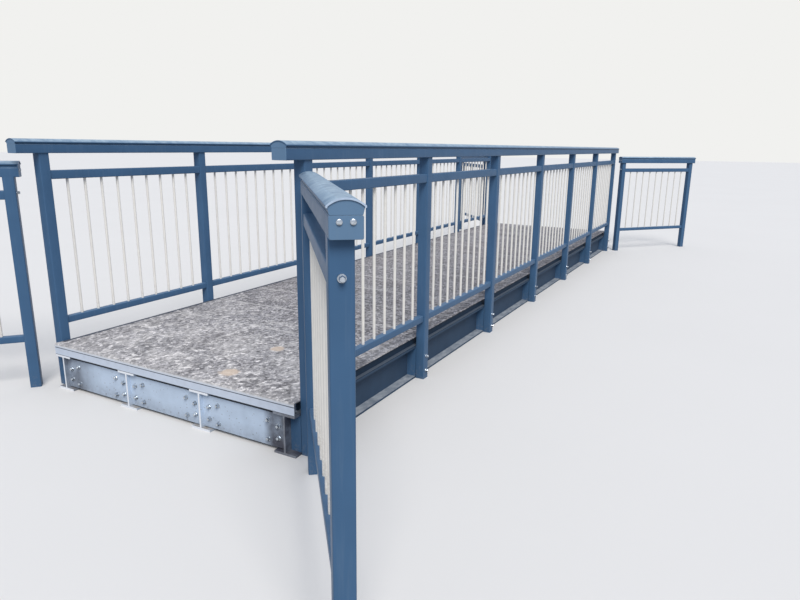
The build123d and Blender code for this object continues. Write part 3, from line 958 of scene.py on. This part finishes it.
def handrail_unit(name, handrail, length, lift=0.0, drop=0.0):
    """One handrail from X = 0: arched shell on a neck over a square body that ends behind its caps."""
    finish = length - CAP_THICKNESS
    body = flat_outline(handrail.body_width, -drop, handrail.body_top, handrail.body_corner)
    high = handrail.lip_underside + handrail.lip_edge + lift + 3 * MM
    neck = flat_outline(handrail.neck_width, handrail.body_top - 1 * MM, high, 0.5 * MM)
    runs = (
        (crown_outline(handrail, lift), handrail.rim, length - handrail.rim, 0.1 * MM),
        (body, CAP_THICKNESS, finish, 0.2 * MM),
        (neck, CAP_THICKNESS, finish, 0.2 * MM),
    )
    return make_unit(name, runs)


def cap_unit(handrail, lift=0.0, drop=0.0):
    """End cap set at X = 0, facing backward: a plate with a soft rim, and a second one up into the arch."""
    recess = handrail.cap_recess
    back = CAP_THICKNESS + 1 * MM
    half = handrail.body_width / 2 - 1.5 * MM
    half_lip = handrail.lip_width / 2 - handrail.crown_wall
    seam = handrail.body_top + 0.3 * MM
    foot = handrail.lip_underside + lift - 1 * MM
    plate = flat_outline(handrail.body_width, -drop, handrail.body_top, handrail.body_corner)
    upper = [Vector((-half, seam)), Vector((half, seam)), Vector((half_lip, foot))]
    upper += [point + Vector((0.0, lift)) for point in arc(handrail, half_lip, handrail.crown_wall)]
    upper.append(Vector((-half_lip, foot)))
    return make_unit("end_cap", ((plate, recess, back, 1.4 * MM), (upper, recess + 0.3 * MM, back, 0.5 * MM)))


class FOOTBRIDGE_OT_handrails(bpy.types.Operator):
    """Build the arched handrails with their end caps."""

    bl_idname = "footbridge.handrails"
    bl_label = "Handrails"

    def execute(self, context):
        handrail = context.scene.footbridge_handrail
        approach = context.scene.footbridge_approach
        tree = copy_tree()
        paint = finish_material("handrail_paint")
        capped = finish_material("lit_cap_paint")
        pale = finish_material("pale_cut_edge")
        lift, drop = approach.arch_lift, approach.body_drop
        span = -2 * HANDRAIL_START
        bridge = bridge_lines(HANDRAIL_START, HANDRAIL_UNDERSIDE)
        flared = corner_turns(approach, level=WING_UNDERSIDE)
        near = both_ends(bridge, span)
        far = both_ends(flared, approach.length)
        bridge_unit = handrail_unit("bridge_handrail_unit", handrail, span)
        flared_unit = handrail_unit("approach_handrail_unit", handrail, approach.length, lift, drop)
        rim_unit = make_unit("arch_rim", [(crown_outline(handrail, lift), 0.0, handrail.rim, 0.4 * MM)])
        for name, spots, unit, material, replaced in (
            ("bridge_handrails", bridge, bridge_unit, paint, ["handrail_left", "handrail_right"]),
            ("approach_handrails", flared, flared_unit, paint, nodes_named("wing_", "_handrail")),
            ("bridge_caps", near, cap_unit(handrail), capped, ["handrail_end_caps"]),
            ("approach_caps", far, cap_unit(handrail, lift, drop), capped, ["handrail_end_caps"]),
            ("arch_rims", far, rim_unit, pale, []),
        ):
            bake(name, spots, tree, {"Unit": unit}, material, replaced)
            mesh = unit.data
            bpy.data.objects.remove(unit)
            bpy.data.meshes.remove(mesh)
        return {"FINISHED"}


def aimed(spot, heading, spin=0.0):
    """Place of a bolt at a spot on an upright face, pointing along a heading, with its own spin."""
    lying = Matrix.Rotation(math.pi / 2, 3, "Y")
    turn = Matrix.Rotation(heading, 3, "Z") @ lying @ Matrix.Rotation(spin, 3, "Z")
    return (Vector(spot), Vector(turn.to_euler()))


class FOOTBRIDGE_OT_bolts(bpy.types.Operator):
    """Set the bolts of the end plates, the posts, the approach railings and the handrails' caps."""

    bl_idname = "footbridge.bolts"
    bl_label = "Bolts"

    def execute(self, context):
        scene = context.scene
        sizes = scene.footbridge_fasteners
        railing = scene.footbridge_railing
        approach = scene.footbridge_approach
        chance = random.Random(BOLT_SEED)

        # Four bolts into every cleat behind the end plates: two near the beam's web and two farther from it
        face = -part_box("cross_plates_front")[0].x
        beams = ("girder_left", "beam_inner_left")
        outer_web, inner_web = [sum(corner.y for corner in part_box(name)) / 2 for name in beams]
        left_legs = [(outer_web, -1), (inner_web, 1), (inner_web, -1)]
        legs = left_legs + [(-web, -toward) for web, toward in reversed(left_legs)]
        on_plates = []
        for end in (-1, 1):
            for web, toward in legs:
                for reach, level in CLEAT_BOLTS:
                    jitter = chance.uniform(-BOLT_JITTER, BOLT_JITTER)
                    lift = chance.uniform(-BOLT_JITTER, BOLT_JITTER)
                    spot = (end * face, web + toward * (reach + jitter), level + lift)
                    on_plates.append(aimed(spot, 0.0 if end > 0 else math.pi, chance.uniform(0.0, math.pi)))

        # Two bolts through the foot of every bridge post into the outer beam
        on_posts = []
        half = railing.post_size / 2
        for side in (-1, 1):
            for index in range(railing.bay_count + 1):
                for level in POST_BOLT_LEVELS:
                    spot = (FIRST_POST + half + index * railing.bay_length, side * (POST_LINE + half), level)
                    on_posts.append(aimed(spot, side * math.pi / 2, chance.uniform(0.0, math.pi)))

        # One bolt through each approach post into its upper rail
        on_approach = []
        for spot, turn in corner_turns(approach, approach.offset, APPROACH_BOLT_LEVEL):
            for reach, flip in ((approach.setback, math.pi), (approach.length - approach.setback, 0.0)):
                place = spot + ahead(turn.z) * reach
                on_approach.append(aimed(place, turn.z + flip, chance.uniform(0.0, math.pi)))

        # Two round-headed screws in each end cap of the approach handrails
        in_caps = []
        recess = scene.footbridge_handrail.cap_recess
        flared = corner_turns(approach, level=WING_UNDERSIDE + CAP_SCREW_LEVEL)
        for spot, turn in both_ends(flared, approach.length):
            for step in (-CAP_SCREW_REACH, CAP_SCREW_REACH):
                place = spot - aside(turn.z) * step + ahead(turn.z) * recess
                in_caps.append(aimed(place, turn.z + math.pi))

        tree = bolt_tree()
        steel = finish_material("galvanised_steel")
        # Sides and height of a head, its crown's share of its width, and the thickness of its washer
        hexagon = (6, 13.5 * MM, 0.8, 3 * MM)
        domed = (24, 4.2 * MM, 0.55, 0.8 * MM)
        for name, spots, (sides, height, crown, thickness), head, washer, piece_slot in (
            ("plate_bolts", on_plates, hexagon, sizes.plate_head, sizes.plate_washer, "trim"),
            ("post_bolts", on_posts, hexagon, sizes.post_head, sizes.post_washer, "posts"),
            ("approach_bolts", on_approach, hexagon, sizes.post_head, sizes.post_washer, "posts"),
            ("cap_screws", in_caps, domed, sizes.cap_head, sizes.cap_head * 1.12, "handrail"),
        ):
            values = {
                "Sides": sides,
                "Head": head,
                "Height": height,
                "Crown": crown,
                "Washer": washer,
                "Washer height": thickness,
            }
            bake(name, spots, tree, values, steel)
        return {"FINISHED"}


class FOOTBRIDGE_OT_studio(bpy.types.Operator):
    """Set the floor, the soft light and the camera."""

    bl_idname = "footbridge.studio"
    bl_label = "Studio"

    def execute(self, context):
        scene = context.scene
        mesh = bpy.data.meshes.new("floor")
        reach = 90.0
        corners = [(-reach, -reach, 0.0), (reach, -reach, 0.0), (reach, reach, 0.0), (-reach, reach, 0.0)]
        mesh.from_pydata(corners, [], [(0, 1, 2, 3)])
        mesh.materials.append(pale_floor())
        new_object("floor", mesh)

        world = bpy.data.worlds.new("studio")
        scene.world = world
        world.use_nodes = True
        tree = world.node_tree
        tree.nodes.clear()
        ray = add(tree, "ShaderNodeLightPath", output="Is Camera Ray")
        soft = add(tree, "ShaderNodeBackground", {"Color": linear("#dfe9fb"), "Strength": 0.68})
        seen = add(tree, "ShaderNodeBackground", {"Color": linear("#f1f1ef"), "Strength": 1.0})
        sky = add(tree, "ShaderNodeMixShader", {0: ray, 1: soft, 2: seen})
        add(tree, "ShaderNodeOutputWorld", {"Surface": sky})

        lamp = bpy.data.lights.new("soft_key", "SUN")
        lamp.energy = 2.4
        lamp.angle = math.radians(30)
        lamp.color = (1.0, 0.985, 0.96)
        key = new_object("soft_key", lamp)
        key.rotation_euler = Vector(LIGHT_FROM).normalized().to_track_quat("Z", "Y").to_euler()

        lens = bpy.data.cameras.new("camera")
        lens.sensor_width = 36.0
        lens.lens = CAMERA_LENS
        lens.clip_start = 0.05
        lens.clip_end = 400.0
        camera = new_object("camera", lens)
        forward = ahead(CAMERA_YAW) * math.cos(CAMERA_PITCH) - Vector((0.0, 0.0, math.sin(CAMERA_PITCH)))
        level = -aside(CAMERA_YAW)
        upright = level.cross(forward)
        right = level * math.cos(CAMERA_ROLL) + upright * math.sin(CAMERA_ROLL)
        up = upright * math.cos(CAMERA_ROLL) - level * math.sin(CAMERA_ROLL)
        turn = Matrix((right, up, -forward)).transposed().to_4x4()
        camera.matrix_world = Matrix.Translation(CAMERA_PLACE) @ turn
        scene.camera = camera
        scene.view_settings.view_transform = "Standard"
        return {"FINISHED"}


class FOOTBRIDGE_PT_panel(bpy.types.Panel):
    """Steps that build the footbridge."""

    bl_idname = "FOOTBRIDGE_PT_panel"
    bl_label = "Footbridge"
    bl_space_type = "VIEW_3D"
    bl_region_type = "UI"
    bl_category = "Footbridge"

    def draw(self, context):
        scene = context.scene
        for group in GROUPS:
            box = self.layout.box()
            for setting in getattr(scene, group).bl_rna.properties.keys():
                if setting not in ("rna_type", "name"):
                    box.prop(getattr(scene, group), setting)
        for step in STEPS:
            self.layout.operator(step.bl_idname)


GROUPS = {
    "footbridge_railing": FootbridgeRailing,
    "footbridge_handrail": FootbridgeHandrail,
    "footbridge_approach": FootbridgeApproach,
    "footbridge_fasteners": FootbridgeFasteners,
    "footbridge_finish": FootbridgeFinish,
}
STEPS = (
    FOOTBRIDGE_OT_finishes,
    FOOTBRIDGE_OT_posts,
    FOOTBRIDGE_OT_railings,
    FOOTBRIDGE_OT_handrails,
    FOOTBRIDGE_OT_bolts,
    FOOTBRIDGE_OT_studio,
)


def register():
    """Register the settings, the steps and the panel."""
    for name, group in GROUPS.items():
        bpy.utils.register_class(group)
        setattr(bpy.types.Scene, name, bpy.props.PointerProperty(type=group))
    for step in STEPS:
        bpy.utils.register_class(step)
    bpy.utils.register_class(FOOTBRIDGE_PT_panel)


def unregister():
    """Take the panel, the steps and the settings away again."""
    bpy.utils.unregister_class(FOOTBRIDGE_PT_panel)
    for step in reversed(STEPS):
        bpy.utils.unregister_class(step)
    for name, group in reversed(GROUPS.items()):
        delattr(bpy.types.Scene, name)
        bpy.utils.unregister_class(group)


def main():
    """Build every piece."""
    register()
    bpy.ops.footbridge.studio()
    bpy.ops.footbridge.finishes()
    bpy.ops.footbridge.posts()
    bpy.ops.footbridge.railings()
    bpy.ops.footbridge.handrails()
    bpy.ops.footbridge.bolts()


if __name__ == "__main__":
    main()
